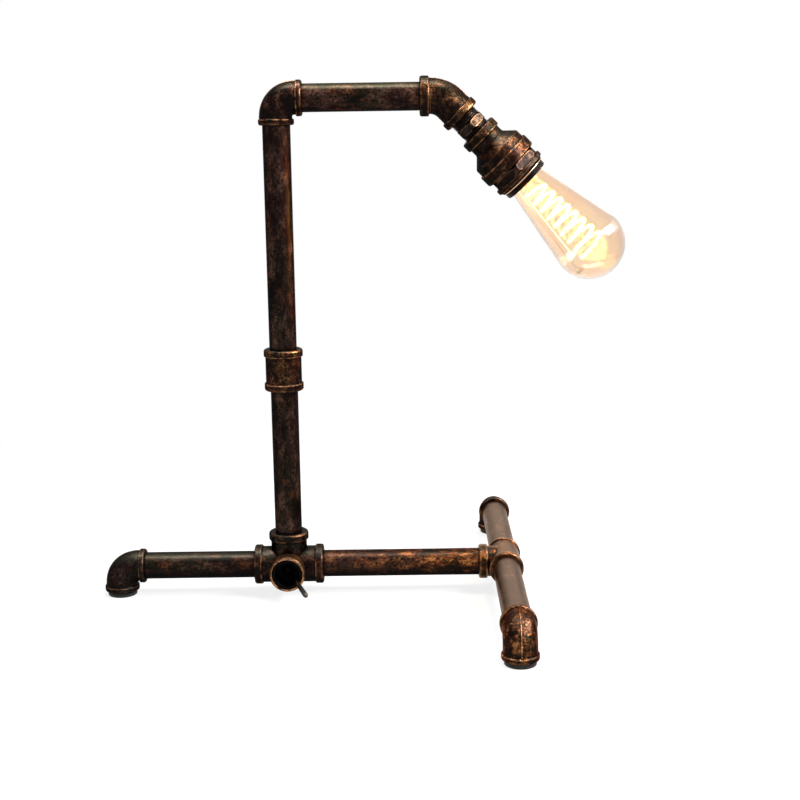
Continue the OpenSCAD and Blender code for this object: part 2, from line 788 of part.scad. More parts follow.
// Tube of a given diameter along a list of points, as one closed polyhedron
module wound_tube(points, d, sides) {
    n = len(points);
    frame = [for (i = [0:n - 1])
        let (t = unit(points[min(i + 1, n - 1)] - points[max(i - 1, 0)]))
        let (side = unit(cross(t, [0, 0, 1])))
        [side, cross(side, t)]];
    rings = [for (i = [0:n - 1]) for (j = [0:sides - 1])
        let (a = 360 * j / sides)
        points[i] + d / 2 * (cos(a) * frame[i][0] + sin(a) * frame[i][1])];
    walls = [for (i = [0:n - 2]) for (j = [0:sides - 1])
        let (p = i * sides + j, q = i * sides + (j + 1) % sides)
        each [[p, q, q + sides], [p, q + sides, p + sides]]];
    caps = [[for (j = [sides - 1:-1:0]) j], [for (j = [0:sides - 1]) (n - 1) * sides + j]];
    polyhedron(points = rings, faces = concat(walls, caps), convexity = 10);
}

module bulb_filament() {
    color("#ffd98a") on_head()
        wound_tube([for (k = [0:filament_turns * ring_steps]) spiral(k)], filament_d, tube_sides);
}

// Least gap between points of the spiral that lie half a turn or more apart
spiral_points = [for (k = [0:filament_turns * ring_steps]) spiral(k)];
spiral_gap = min([for (i = [0:len(spiral_points) - 1]) for (j = [i + ring_steps / 2:1:len(spiral_points) - 1])
    norm(spiral_points[i] - spiral_points[j])]) - filament_d;
echo(spiral_gap = spiral_gap);

// Straight wire between two places, each given as [from the axis, along the axis]
module wire(from, to) {
    translate([from.x, 0, from.y])
        rotate([0, atan2(to.x - from.x, to.y - from.y), 0])
        cylinder(d = wire_d, h = norm(to - from));
    translate([to.x, 0, to.y]) sphere(d = wire_d + 2 * proud);
}

// Hooks from the rod carry every other turn of the spiral from inside. A carrier wire leaves the
// pinch, runs outside the spiral along the glass's flank, and holds the turns between
module bulb_supports() {
    reach = filament_d / 2 + hook_gap;
    turn_l = (filament_end - filament_start) / filament_turns;
    root = [pinch_r * round_share, pinch_end + seat + wire_d / 2];
    knee = [filament_r_in + carrier_gap_in, filament_start - reach];
    end = [filament_r_out + carrier_gap_out, filament_end - turn_l];
    color("#8d8880") on_head() {
        for (turn = [0:hook_turns:filament_turns])
            let (p = spiral(turn * ring_steps), r = norm([p.x, p.y]) - reach)
            translate([rod_r + hook_gap, 0, p.z]) to_right() cylinder(d = wire_d, h = r - rod_r - hook_gap);
        wire(root, knee);
        wire(knee, end);
        for (turn = [1:hook_turns:filament_turns])
            let (p = spiral(turn * ring_steps), r = norm([p.x, p.y]) + reach)
            let (at = knee.x + (end.x - knee.x) * (p.z - knee.y) / (end.y - knee.y))
            translate([r, 0, p.z]) to_right() cylinder(d = wire_d, h = at - r);
    }
}
hook_turns = 2;
hook_gap = 0.3;
carrier_gap_in = 2;
carrier_gap_out = 4.5;

// Black bezel in the outlet: a cup as deep as the lever's pivot lies, whose mouth clears the
// lever, with a dome round the lever's ball on its floor and a skirt round its tail
pivot_at = outlet_reach - pivot_drop;
module switch_bezel() {
    back = outlet_reach - bezel_depth;
    face = outlet_reach - bezel_drop;
    cavity_r = ball_r + ball_gap;
    tail_r = lever_root_d / 2;
    tip_r = lever_tip_d / 2;
    reach = face - pivot_at;
    lever_r = tail_r + (tip_r - tail_r) * reach / cos(lever_tilt) / lever_l;
    mouth_r = reach * tan(lever_tilt) + lever_r / cos(lever_tilt) + mouth_gap;
    edge = min(bezel_round, (bezel_d / 2 - mouth_r) * fillet_share);
    skirt_r = max(cavity_r, (pivot_at - back) * tan(lever_tilt) + tail_r / cos(lever_tilt) + ball_gap);
    foot_a = asin(dome_foot / dome_r);
    bore_top = pin_d / 2 + pin_gap + seat;
    bore_a = asin(bore_top / cavity_r);
    slot_w = lever_root_d + (lever_tip_d - lever_root_d) * dome_r / lever_l + 4 * seat;
    slot_a = lever_tilt + asin((tail_r + 2 * seat) / cavity_r);
    slot_r = dome_r * slot_reach_share;
    slot_foot = pin_d;
    color("#0c0c0d") on_base()
        to_front() difference() {
            rotate_extrude()
                polygon(concat(
                    [[skirt_r, back]],
                    rounded([[bezel_d / 2, back, 0], [bezel_d / 2, face, edge], [mouth_r, face, edge],
                        [mouth_r - cup_draft, pivot_at + dome_foot, 0]]),
                    [for (i = [0:dome_arc_steps])
                        let (a = foot_a + (90 - foot_a) * i / dome_arc_steps)
                        [dome_r * cos(a), pivot_at + dome_r * sin(a)]],
                    [for (i = [dome_arc_steps:-1:1])
                        let (a = bore_a + (90 - bore_a) * i / dome_arc_steps)
                        [cavity_r * cos(a), pivot_at + cavity_r * sin(a)]],
                    [[cavity_r, pivot_at + bore_top]]
                ));
            translate([0, 0, pivot_at])
                rotate([0, 0, -lever_slant])
                lever_pin(pin_d / 2 + pin_gap, pin_half + seat);
            translate([0, 0, pivot_at])
                rotate([0, 0, -lever_slant])
                rotate([90, 0, 0])
                translate([0, 0, -slot_w / 2])
                linear_extrude(slot_w)
                polygon([[slot_foot * tan(slot_a), slot_foot], [slot_r * sin(slot_a), slot_r * cos(slot_a)],
                    [0, slot_r / cos(slot_a / 2)], [-slot_r * sin(slot_a), slot_r * cos(slot_a)],
                    [-slot_foot * tan(slot_a), slot_foot]]);
        }
}
// Pin across the lever's ball, along Y
module lever_pin(r, half) { translate([0, -half, 0]) to_rear() cylinder(r = r, h = 2 * half); }
pin_d = 1.8;
pin_gap = 0.06;
pin_half = 5.6;
bezel_drop = 0.6;
bezel_round = 0.7;
mouth_gap = 0.5;
cup_draft = 0.6;
dome_foot = 1.6;
ball_gap = 0.15;
slot_reach_share = 1.4;
dome_arc_steps = 8;

// Bat lever: a ball in the dome, a shank that widens to a round tip, and a short tail
module switch_lever() {
    root_r = lever_root_d / 2;
    tip_r = lever_tip_d / 2;
    color("#8c8c8c") on_base() to_front()
        translate([0, 0, pivot_at])
        rotate([0, 0, -lever_slant])
        rotate([0, lever_tilt, 0]) {
            sphere(r = ball_r);
            lever_pin(pin_d / 2, pin_half);
            rotate_extrude()
                polygon(rounded([
                    [0, 0, 0], [root_r, 0, 0], [tip_r, lever_l - tip_r, tip_r * round_share],
                    [tip_r * tip_flat_share, lever_l, tip_r * round_share], [0, lever_l, 0]
                ]));
            rotate([180, 0, 0]) cylinder(r = root_r, h = ball_r + tail_l);
        }
}
tip_flat_share = 0.6;
tail_l = 1.6;

// Switch body behind the bezel, hollowed where the lever's tail swings
module switch_body() {
    top = outlet_reach - bezel_depth - seat;
    tail_end = ball_r + tail_l;
    room_r = max(ball_r, tail_end * sin(lever_tilt) + lever_root_d / 2 * cos(lever_tilt)) + ball_gap;
    room_at = pivot_at - tail_end - tail_gap;
    color("#3a2a20") on_base() to_front()
        difference() {
            translate([-switch_side / 2, -switch_side / 2, top - switch_depth])
                cube([switch_side, switch_side, switch_depth]);
            translate([0, 0, room_at]) cylinder(r = room_r, h = top - room_at + cut);
        }
}
tail_gap = 0.6;

// Two terminal tabs at the back of the switch, which meet the lead
module switch_terminals() {
    back = outlet_reach - bezel_depth - seat - switch_depth;
    color("#b9b3a4") on_base() to_front()
        for (side = [-1, 1])
            translate([side * tab_at - tab_t / 2, -tab_w / 2, lead_d / 2 + seat])
                cube([tab_t, tab_w, back - lead_d / 2 - 2 * seat]);
}
tab_at = 1.6;
tab_t = 0.8;
tab_w = 4.8;

// Rubber grommet: an outer flange, the sleeve through the wall and an inner lip
module cord_grommet() {
    face = inlet_face();
    wall_in = way_r;
    color("#161514") on_base() to_rear()
        rotate_extrude()
        polygon(rounded([
            [inlet_bore_d / 2, wall_in - grommet_lip, 0],
            [inlet_hole_d / 2 - seat, wall_in - grommet_lip, grommet_round],
            [inlet_hole_d / 2 - seat, face + seat, 0], [inlet_flange_d / 2, face + seat, 0],
            [inlet_flange_d / 2, face + seat + inlet_flange_w, grommet_round],
            [inlet_bore_d / 2, face + seat + inlet_flange_w, 0]
        ]));
}
grommet_lip = 1.2;
grommet_round = 0.7;

// Flexible lead inside the tubes, in three lengths that meet on the two swivel axes
module post_lead() {
    color("#2b2b2b") on_base()
        translate([0, 0, -lead_d / 2]) cylinder(d = lead_d, h = post_rise - lead_bend_r + lead_d / 2 - lead_space);
}
module arm_lead() {
    color("#2b2b2b") translate([post_x, 0, arm_z]) {
        rotate([0, 0, 180]) bend(lead_d / 2, lead_bend_r, 90);
        translate([lead_bend_r, 0, 0])
            to_right() cylinder(d = lead_d, h = arm_reach - lead_bend_r - head_lead_in - lead_space);
    }
}
module head_lead() {
    bend_r = head_lead_in / tan(head_angle / 2);
    color("#2b2b2b") translate([bend_x, 0, arm_z]) {
        bend(lead_d / 2, bend_r, head_angle);
        rotate([0, 90 + head_angle, 0])
            translate([0, 0, head_lead_in - lap])
            cylinder(r = lead_d / 2 + proud, h = holder_at - head_lead_in + lap - seat);
    }
}
lead_bend_r = 13;
head_lead_in = 8;
lead_space = 0.3;

left_foot_elbow();
front_foot_elbow();
rear_foot_elbow();
left_foot_pad();
front_foot_pad();
rear_foot_pad();
base_pipe_left();
base_pipe_right();
bar_pipe_front();
bar_pipe_rear();
base_cross();
base_tee();
post_pipe_lower();
post_coupling();
post_pipe_upper();
top_elbow();
arm_pipe();
head_elbow();
hex_nipple();
bell_reducer();
mouth_bushing();
holder_body();
holder_shell();
holder_contact();
holder_screws();
holder_ring();
bulb_glass();
bulb_cap();
bulb_insulator();
bulb_contact();
bulb_stem();
bulb_supports();
bulb_filament();
switch_bezel();
switch_body();
switch_lever();
switch_terminals();
cord_grommet();
post_lead();
arm_lead();
head_lead();
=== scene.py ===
"""Looks of the industrial pipe table lamp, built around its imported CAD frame.

Everything is in metres, in the frame's own axes: X runs along the base towards the T-bar,
Y away from the switch and Z up from the table.
"""
import json
import math

import bpy
import numpy as np
from mathutils import Matrix, Vector


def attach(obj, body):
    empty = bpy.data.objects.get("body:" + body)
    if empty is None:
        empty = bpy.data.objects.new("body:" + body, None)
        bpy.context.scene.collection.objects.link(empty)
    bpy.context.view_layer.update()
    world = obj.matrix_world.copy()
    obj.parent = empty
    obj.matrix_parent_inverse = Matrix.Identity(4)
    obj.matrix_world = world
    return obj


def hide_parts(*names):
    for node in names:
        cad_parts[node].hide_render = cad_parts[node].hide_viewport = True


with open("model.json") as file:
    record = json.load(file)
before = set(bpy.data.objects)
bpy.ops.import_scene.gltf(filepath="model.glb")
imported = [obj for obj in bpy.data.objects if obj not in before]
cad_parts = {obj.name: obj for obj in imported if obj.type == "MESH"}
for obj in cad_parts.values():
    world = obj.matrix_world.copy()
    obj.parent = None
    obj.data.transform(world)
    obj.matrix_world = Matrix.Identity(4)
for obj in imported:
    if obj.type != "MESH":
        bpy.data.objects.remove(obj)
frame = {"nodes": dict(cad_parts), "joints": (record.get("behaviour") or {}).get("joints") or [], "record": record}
bpy.context.view_layer.update()

MM = 0.001
NODES = frame["nodes"]

# Where each joint turns
JOINT_AT = {joint["name"]: Vector(joint["pos_m"]) for joint in frame["joints"]}

# The head's own axes start at its bend. Z runs down the bulb, which points this far below the arm
BEND = JOINT_AT["head_turn"]
HEAD_ANGLE = math.radians(45)
HEAD_Z = Vector((math.cos(HEAD_ANGLE), 0, -math.sin(HEAD_ANGLE)))
HEAD_X = Vector((-math.sin(HEAD_ANGLE), 0, -math.cos(HEAD_ANGLE)))
HEAD_AXES = np.array((HEAD_X, HEAD_Z.cross(HEAD_X), HEAD_Z))


def head_span(node, past=0.0):
    """Lowest and highest place along the head's axis where a node reaches past a radius, and the
    node's largest distance from that axis."""
    points = np.array([v.co for v in NODES[node].data.vertices]) - np.array(BEND)
    along = points @ np.array(HEAD_Z)
    away = np.linalg.norm(points - np.outer(along, HEAD_Z), axis=1)
    wide = along[away >= past]
    return wide.min(), wide.max(), away.max()


# Colours and nodes


def shade(code):
    """An sRGB colour such as #5a3a22 as the linear colour that Blender's sockets take."""
    srgb = np.array([int(code[i:i + 2], 16) / 255 for i in (1, 3, 5)])
    linear = np.where(srgb <= 0.04045, srgb / 12.92, ((srgb + 0.055) / 1.055) ** 2.4)
    return (*linear.tolist(), 1.0)


def per(size_mm):
    """Scale of a pattern whose features are this many millimetres apart."""
    return 1 / (size_mm * MM)


def add(tree, kind, inputs=None, stops=(), **settings):
    """Adds a node. inputs maps a socket's name or number to a constant or another node's output,
    stops are a colour ramp's places and colours, and the rest are the node's own settings."""
    node = tree.nodes.new(kind)
    for name, value in settings.items():
        setattr(node, name, value)
    for name, value in (inputs or {}).items():
        if isinstance(value, bpy.types.NodeSocket):
            tree.links.new(value, node.inputs[name])
        else:
            node.inputs[name].default_value = value
    for number, (place, colour) in enumerate(stops):
        if number >= len(node.color_ramp.elements):
            node.color_ramp.elements.new(place)
        node.color_ramp.elements[number].position = place
        node.color_ramp.elements[number].color = shade(colour)
    return node


# A colour Mix node's sockets by number, because several share a name
MIX_FACTOR = 0
MIX_A = 6
MIX_B = 7
MIX_RESULT = 2

# A pattern's scale along X, Y and Z: a tube's is drawn out along the tube
DRAWN = 0.45
ALONG_X = (DRAWN, 1.0, 1.0)
ALONG_Y = (1.0, DRAWN, 1.0)
ALONG_Z = (1.0, 1.0, DRAWN)
EVEN = (1.0, 1.0, 1.0)


def new_finish(name):
    """An empty material and its node tree."""
    material = bpy.data.materials.new(name)
    material.use_nodes = True
    material.node_tree.nodes.clear()
    return material, material.node_tree


def close_finish(tree, surface):
    """Joins the last shader to the material's output."""
    add(tree, "ShaderNodeOutputMaterial", {"Surface": surface})


# Finishes


def antique_bronze(name, *, tones, copper, patch_share, pit_mm, pit_depth_mm, roughness,
                   stretch=EVEN, edge_share=0.75, top_sheen_share=0.45, top_sheen_tone="#4a493f",
                   underside_shade_share=0.88, rim="#6b5a50", dull_end=None):
    """Antique bronze: iron plated with copper, blackened, then rubbed back and waxed.

    The blackening stays in the hollows and leaves the flats a dark brown that drifts from
    olive to maroon. Painted shade deepens the corners and undersides, and a painted sheen
    lightens the tops. Rubbed patches and edges show copper. tones are the patina's four shades
    from its blackest to its most rubbed, and each share is how far a layer covers what lies
    under it. A casting's sand leaves deeper pits than a drawn tube's scale does. rim is what
    the blackening leaves of a shallow reflection. A thin wax lies over all. A tube along X may
    be a duller brown at its low end, up to dull_end.
    """
    material, tree = new_finish(name)
    coordinates = add(tree, "ShaderNodeTexCoord")
    place = coordinates.outputs["Object"]
    facing = add(tree, "ShaderNodeSeparateXYZ", {0: coordinates.outputs["Normal"]})
    drawn = add(tree, "ShaderNodeMapping", {"Vector": place, "Scale": stretch}).outputs["Vector"]

    # Blackening: soft clouds about 9 mm across
    cloud = add(tree, "ShaderNodeTexNoise",
                {"Vector": drawn, "Scale": per(9), "Detail": 8.0, "Roughness": 0.68})
    brown = add(tree, "ShaderNodeValToRGB", {"Fac": cloud.outputs["Fac"]},
                stops=tuple(zip((0.39, 0.47, 0.55, 0.63), tones)))

    # Drift of the wax and oxide from olive through brown to maroon, about 26 mm across
    drift = add(tree, "ShaderNodeTexNoise",
                {"Vector": drawn, "W": 7.0, "Scale": per(26), "Detail": 3.0},
                noise_dimensions="4D")
    oxide = add(tree, "ShaderNodeValToRGB", {"Fac": drift.outputs["Fac"]},
                stops=((0.38, "#26281b"), (0.50, "#120a06"), (0.62, "#32150f")))
    colour = add(tree, "ShaderNodeMix",
                 {MIX_FACTOR: 0.35, MIX_A: brown.outputs["Color"], MIX_B: oxide.outputs["Color"]},
                 data_type="RGBA")

    # Rubbed patches where the copper plating shows, about 7 mm across
    patch = add(tree, "ShaderNodeTexNoise",
                {"Vector": drawn, "W": 3.0, "Scale": per(7), "Detail": 7.0, "Roughness": 0.7},
                noise_dimensions="4D")
    bare = add(tree, "ShaderNodeMapRange",
               {"Value": patch.outputs["Fac"], "From Min": 0.53, "From Max": 0.66,
                "To Max": patch_share})

    # Pits of the casting sand or the mill scale
    grain = add(tree, "ShaderNodeTexNoise",
                {"Vector": place, "Scale": per(pit_mm), "Detail": 3.0, "Roughness": 0.6})
    pitted = add(tree, "ShaderNodeMapRange",
                 {"Value": grain.outputs["Fac"], "From Min": 0.51, "From Max": 0.40,
                  "To Max": 0.85})

    # Painted shade darkening the undersides, and a painted sheen of the light from above lightening the tops to a
    # dull grey
    under = add(tree, "ShaderNodeMapRange",
                {"Value": facing.outputs["Z"], "From Min": 0.5, "From Max": -0.6,
                 "To Max": underside_shade_share}, interpolation_type="SMOOTHSTEP")
    over = add(tree, "ShaderNodeMapRange",
               {"Value": facing.outputs["Z"], "From Min": 0.5, "From Max": 0.95,
                "To Max": top_sheen_share})

    # Rubbed edges, broken by the patches: where rays cast into the metal soon meet its far side
    edge = add(tree, "ShaderNodeAmbientOcclusion", {"Distance": 1.4 * MM},
               inside=True, only_local=True, samples=8)
    worn = add(tree, "ShaderNodeMapRange",
               {"Value": edge.outputs["AO"], "From Min": 0.97, "From Max": 0.76,
                "To Max": edge_share})
    broken = add(tree, "ShaderNodeMapRange",
                 {"Value": patch.outputs["Fac"], "From Min": 0.42, "From Max": 0.58})
    rubbed = add(tree, "ShaderNodeMath", {0: worn.outputs[0], 1: broken.outputs[0]},
                 operation="MULTIPLY")

    # Blackening left in the corners, deepened to near black as painted shade where the corners are hidden from the
    # light
    corner = add(tree, "ShaderNodeAmbientOcclusion", {"Distance": 6 * MM}, samples=8)
    corner_blackening_and_shade = add(tree, "ShaderNodeMapRange",
                {"Value": corner.outputs["AO"], "From Min": 0.9, "From Max": 0.5,
                 "To Max": 0.95})

    # Each layer lies over those before it, and a tube's duller end, 100 mm long, over its copper
    layers = [(bare, copper), (pitted, "#090504"), (under, "#080505"), (over, top_sheen_tone),
              (rubbed, "#d8986a"), (corner_blackening_and_shade, "#080504")]
    if dull_end is not None:
        along = add(tree, "ShaderNodeSeparateXYZ", {0: place})
        duller = add(tree, "ShaderNodeMapRange",
                     {"Value": along.outputs["X"], "From Min": dull_end,
                      "From Max": dull_end - 100 * MM, "To Max": 0.65})
        layers.insert(1, (duller, "#3d2b25"))
    for cover, tint in layers:
        colour = add(tree, "ShaderNodeMix",
                     {MIX_FACTOR: cover.outputs[0], MIX_A: colour.outputs[MIX_RESULT],
                      MIX_B: shade(tint)}, data_type="RGBA")

    # Rubbed metal is smoother than what is still black
    smooth = add(tree, "ShaderNodeMath", {0: rubbed.outputs[0], 1: bare.outputs[0]},
                 operation="MAXIMUM")
    gloss = add(tree, "ShaderNodeMapRange",
                {"Value": smooth.outputs[0], "To Min": roughness + 0.04,
                 "To Max": roughness - 0.17})
    pits = add(tree, "ShaderNodeBump",
               {"Height": grain.outputs["Fac"], "Strength": 1.0, "Distance": pit_depth_mm * MM})
    surface = add(tree, "ShaderNodeBsdfPrincipled",
                  {"Base Color": colour.outputs[MIX_RESULT], "Metallic": 1.0,
                   "Roughness": gloss.outputs[0], "Specular Tint": shade(rim),
                   "Coat Weight": 0.06, "Coat Roughness": 0.25,
                   "Normal": pits.outputs["Normal"]})
    close_finish(tree, surface.outputs[0])
    return material


def moulded(name, colour, speck, roughness, grain_mm, depth_mm, shine=0.5):
    """Moulded rubber or phenolic: one deep colour, faint mottling, and the mould's fine grain."""
    material, tree = new_finish(name)
    place = add(tree, "ShaderNodeTexCoord").outputs["Object"]
    grain = add(tree, "ShaderNodeTexNoise",
                {"Vector": place, "Scale": per(grain_mm), "Detail": 3.0})
    mottled = add(tree, "ShaderNodeMix",
                  {MIX_FACTOR: grain.outputs["Fac"], MIX_A: shade(colour), MIX_B: shade(speck)},
                  data_type="RGBA")
    gloss = add(tree, "ShaderNodeMapRange",
                {"Value": grain.outputs["Fac"], "To Min": roughness - 0.06,
                 "To Max": roughness + 0.08})
    bump = add(tree, "ShaderNodeBump",
               {"Height": grain.outputs["Fac"], "Distance": depth_mm * MM})
    surface = add(tree, "ShaderNodeBsdfPrincipled",
                  {"Base Color": mottled.outputs[MIX_RESULT], "Roughness": gloss.outputs[0],
                   "Specular IOR Level": shine, "Normal": bump.outputs["Normal"]})
    close_finish(tree, surface.outputs[0])
    return material


def worked_metal(name, dark, light, roughness, stretch=EVEN):
    """Drawn, turned or pressed metal: lines half a millimetre apart along the way it was worked."""
    material, tree = new_finish(name)
    place = add(tree, "ShaderNodeTexCoord").outputs["Object"]
    drawn = add(tree, "ShaderNodeMapping", {"Vector": place, "Scale": stretch}).outputs["Vector"]
    lines = add(tree, "ShaderNodeTexNoise",
                {"Vector": drawn, "Scale": per(0.5), "Detail": 4.0, "Roughness": 0.6})
    lined = add(tree, "ShaderNodeMix",
                {MIX_FACTOR: lines.outputs["Fac"], MIX_A: shade(dark), MIX_B: shade(light)},
                data_type="RGBA")
    gloss = add(tree, "ShaderNodeMapRange",
                {"Value": lines.outputs["Fac"], "To Min": roughness - 0.08,
                 "To Max": roughness + 0.1})
    bump = add(tree, "ShaderNodeBump", {"Height": lines.outputs["Fac"], "Distance": 0.02 * MM})
    surface = add(tree, "ShaderNodeBsdfPrincipled",
                  {"Base Color": lined.outputs[MIX_RESULT], "Metallic": 1.0,
                   "Roughness": gloss.outputs[0], "Normal": bump.outputs["Normal"]})
    close_finish(tree, surface.outputs[0])
    return material


def lever_with_painted_shade():
    """Steel bat lever: near black in the cup as painted shade, copper-brown where it leaves it as a painted
    reflection of the rim, greyer at the tip.
    """
    material, tree = new_finish("steel_lever_with_painted_shade")
    place = add(tree, "ShaderNodeTexCoord").outputs["Object"]

    # How far from the pivot, in shares of the lever's length, with ragged edges between tones
    lever_l = 46 * MM
    away = add(tree, "ShaderNodeVectorMath", {0: place, 1: JOINT_AT["lever_flick"]},
               operation="DISTANCE")
    along = add(tree, "ShaderNodeMapRange", {"Value": away.outputs["Value"], "From Max": lever_l})
    wear = add(tree, "ShaderNodeTexNoise", {"Vector": place, "Scale": per(1.2), "Detail": 4.0})
    shifted = add(tree, "ShaderNodeMath", {0: wear.outputs["Fac"], 1: 0.12, 2: along.outputs[0]},
                  operation="MULTIPLY_ADD")
    # Near black inside the cup as painted shade, then copper-brown as a painted reflection of the bronze rim, then
    # the steel's dark grey, greyer towards the tip
    worn = add(tree, "ShaderNodeValToRGB", {"Fac": shifted.outputs[0]},
               stops=((0.50, "#080808"), (0.60, "#5a3822"), (0.72, "#241f1c"), (0.95, "#4a4440")))
    bump = add(tree, "ShaderNodeBump", {"Height": wear.outputs["Fac"], "Distance": 0.05 * MM})
    surface = add(tree, "ShaderNodeBsdfPrincipled",
                  {"Base Color": worn.outputs["Color"], "Metallic": 1.0, "Roughness": 0.32,
                   "Specular Tint": shade("#c0b4aa"), "Normal": bump.outputs["Normal"]})
    close_finish(tree, surface.outputs[0])
    return material


def glazed_ceramic():
    """Steatite lampholder body: off-white, its fired glaze in faint clouds about 6 mm across."""
    material, tree = new_finish("glazed_steatite")
    place = add(tree, "ShaderNodeTexCoord").outputs["Object"]
    cloud = add(tree, "ShaderNodeTexNoise", {"Vector": place, "Scale": per(6), "Detail": 5.0})
    glaze = add(tree, "ShaderNodeValToRGB", {"Fac": cloud.outputs["Fac"]},
                stops=((0.3, "#d9d0bd"), (0.6, "#ece6d8")))
    bump = add(tree, "ShaderNodeBump", {"Height": cloud.outputs["Fac"], "Distance": 0.05 * MM})
    surface = add(tree, "ShaderNodeBsdfPrincipled",
                  {"Base Color": glaze.outputs["Color"], "Roughness": 0.25,
                   "Coat Weight": 0.6, "Coat Roughness": 0.08, "Normal": bump.outputs["Normal"]})
    close_finish(tree, surface.outputs[0])
    return material


def blown_glass(name, thin, thick, rim, ripple_mm, haze):
    """Soda-lime glass blown in a mould: clear, slightly wavy, its tint a little uneven.

    rim is its tint where a slanting look passes through more of the wall. A faint haze spreads
    the filament's glow, as the eye and a lens see it.
    """
    material, tree = new_finish(name)
    place = add(tree, "ShaderNodeTexCoord").outputs["Object"]
    wave = add(tree, "ShaderNodeTexNoise", {"Vector": place, "Scale": per(26), "Detail": 1.0})
    tint = add(tree, "ShaderNodeMix",
               {MIX_FACTOR: wave.outputs["Fac"], MIX_A: shade(thin), MIX_B: shade(thick)},
               data_type="RGBA")
    slant = add(tree, "ShaderNodeLayerWeight", {"Blend": 0.5})
    deep = add(tree, "ShaderNodeMapRange",
               {"Value": slant.outputs["Facing"], "From Min": 0.25, "From Max": 0.9})
    tint = add(tree, "ShaderNodeMix",
               {MIX_FACTOR: deep.outputs[0], MIX_A: tint.outputs[MIX_RESULT], MIX_B: shade(rim)},
               data_type="RGBA")
    bump = add(tree, "ShaderNodeBump",
               {"Height": wave.outputs["Fac"], "Distance": ripple_mm * MM})
    surface = add(tree, "ShaderNodeBsdfPrincipled",
                  {"Base Color": tint.outputs[MIX_RESULT], "Roughness": haze, "IOR": 1.5,
                   "Transmission Weight": 1.0, "Coat Weight": 0.6, "Coat Roughness": 0.0,
                   "Normal": bump.outputs["Normal"]})
    close_finish(tree, surface.outputs[0])
    return material


def glowing_filament():
    """Phosphor-coated filament at full glow: yellow, and dark where the coating has gaps."""
    material, tree = new_finish("glowing_phosphor")
    place = add(tree, "ShaderNodeTexCoord").outputs["Object"]
    grains = add(tree, "ShaderNodeTexNoise", {"Vector": place, "Scale": per(3), "Detail": 2.0})
    glow = add(tree, "ShaderNodeValToRGB", {"Fac": grains.outputs["Fac"]},
               stops=((0.40, "#1a0c02"), (0.47, "#ffb858"), (0.6, "#ffd88e")))
    surface = add(tree, "ShaderNodeBsdfPrincipled",
                  {"Base Color": shade("#e6a860"), "Roughness": 0.5,
                   "Emission Color": glow.outputs["Color"], "Emission Strength": 260.0})
    close_finish(tree, surface.outputs[0])
    return material


# Shades of the patina, from its blackest to its most rubbed
GOLDEN_BROWN = ("#080402", "#28160d", "#54341f", "#8c6640")
BLACK_BROWN = ("#050302", "#130c0b", "#2c1c18", "#5c4235")
BLUE_BLACK = ("#050404", "#110f11", "#24201f", "#463a36")
RUSSET = ("#070302", "#1c0d07", "#462412", "#a46c44")
COPPER_BROWN = ("#0c0502", "#331709", "#6b3819", "#a86a38")
GREY_BROWN = ("#14100d", "#2e2520", "#56463a", "#86705e")
DULL_BROWN = ("#0a0806", "#1f1712", "#3a2d24", "#5c4c3e")
MAUVE_BROWN = ("#080403", "#241613", "#412e27", "#6a4d40")
ORANGE_COPPER = ("#0a0502", "#361608", "#7e4220", "#c88048")
LIGHT_RIM = "#f2dccd"

# Sand castings: pitted, and rubbed most on the front foot and the tee
# Its golden brown is partly a painted glow of the bulb, raised to the brightness the bulb's light gives the head
casting = antique_bronze("antique_bronze_casting", tones=GOLDEN_BROWN, copper="#7d4824",
                         patch_share=0.45, pit_mm=2.0, pit_depth_mm=0.3, roughness=0.35)
dark_casting = antique_bronze("blackened_bronze_casting", tones=BLACK_BROWN, copper="#7d4422",
                              patch_share=0.45, pit_mm=2.4, pit_depth_mm=0.3, roughness=0.36,
                              edge_share=0.65, top_sheen_share=0.5)
# Its bluish black, on the left foot, is partly painted shade of the side away from the lamps
black_casting = antique_bronze("bluish_black_casting", tones=BLUE_BLACK, copper="#553322",
                               patch_share=0.25, pit_mm=2.4, pit_depth_mm=0.25, roughness=0.36,
                               edge_share=0.45, top_sheen_share=0.5)
rubbed_casting = antique_bronze("rubbed_bronze_casting", tones=RUSSET, copper="#a8683a",
                                patch_share=0.6, pit_mm=2.4, pit_depth_mm=0.9, roughness=0.25,
                                top_sheen_share=0.2, rim="#c0a898")
rubbed_tee = antique_bronze("rubbed_bronze_tee", tones=COPPER_BROWN, copper="#b5682c",
                            patch_share=0.7, pit_mm=2.0, pit_depth_mm=0.3, roughness=0.32,
                            edge_share=1.0, top_sheen_share=0.3, rim=LIGHT_RIM)

# Turned and milled fittings, nearly without pits
machined = antique_bronze("antique_bronze_machined", tones=GREY_BROWN, copper="#8f6040",
                          patch_share=0.3, pit_mm=1.4, pit_depth_mm=0.03, roughness=0.3,
                          edge_share=0.25, top_sheen_share=0.3)
dull_machined = antique_bronze("dull_bronze_machined", tones=DULL_BROWN, copper="#6f4a34",
                               patch_share=0.25, pit_mm=1.4, pit_depth_mm=0.03, roughness=0.42,
                               edge_share=0.3, top_sheen_share=0.3)
thread_iron = worked_metal("blackened_thread", "#080504", "#2a201b", roughness=0.36)
# The bushing's lip: rubbed copper, and its pale cream tones a painted highlight of the lamps as well
lip_copper_and_highlight = worked_metal("rubbed_copper_lip_and_highlight", "#d8a078", "#f6d8b8", roughness=0.26)

# Drawn tubes, with shallow mill scale
MILL_SCALE = {"pit_mm": 2.3, "pit_depth_mm": 0.08}
TUBE = {"copper": "#7a4426", "patch_share": 0.45, "roughness": 0.36, **MILL_SCALE}
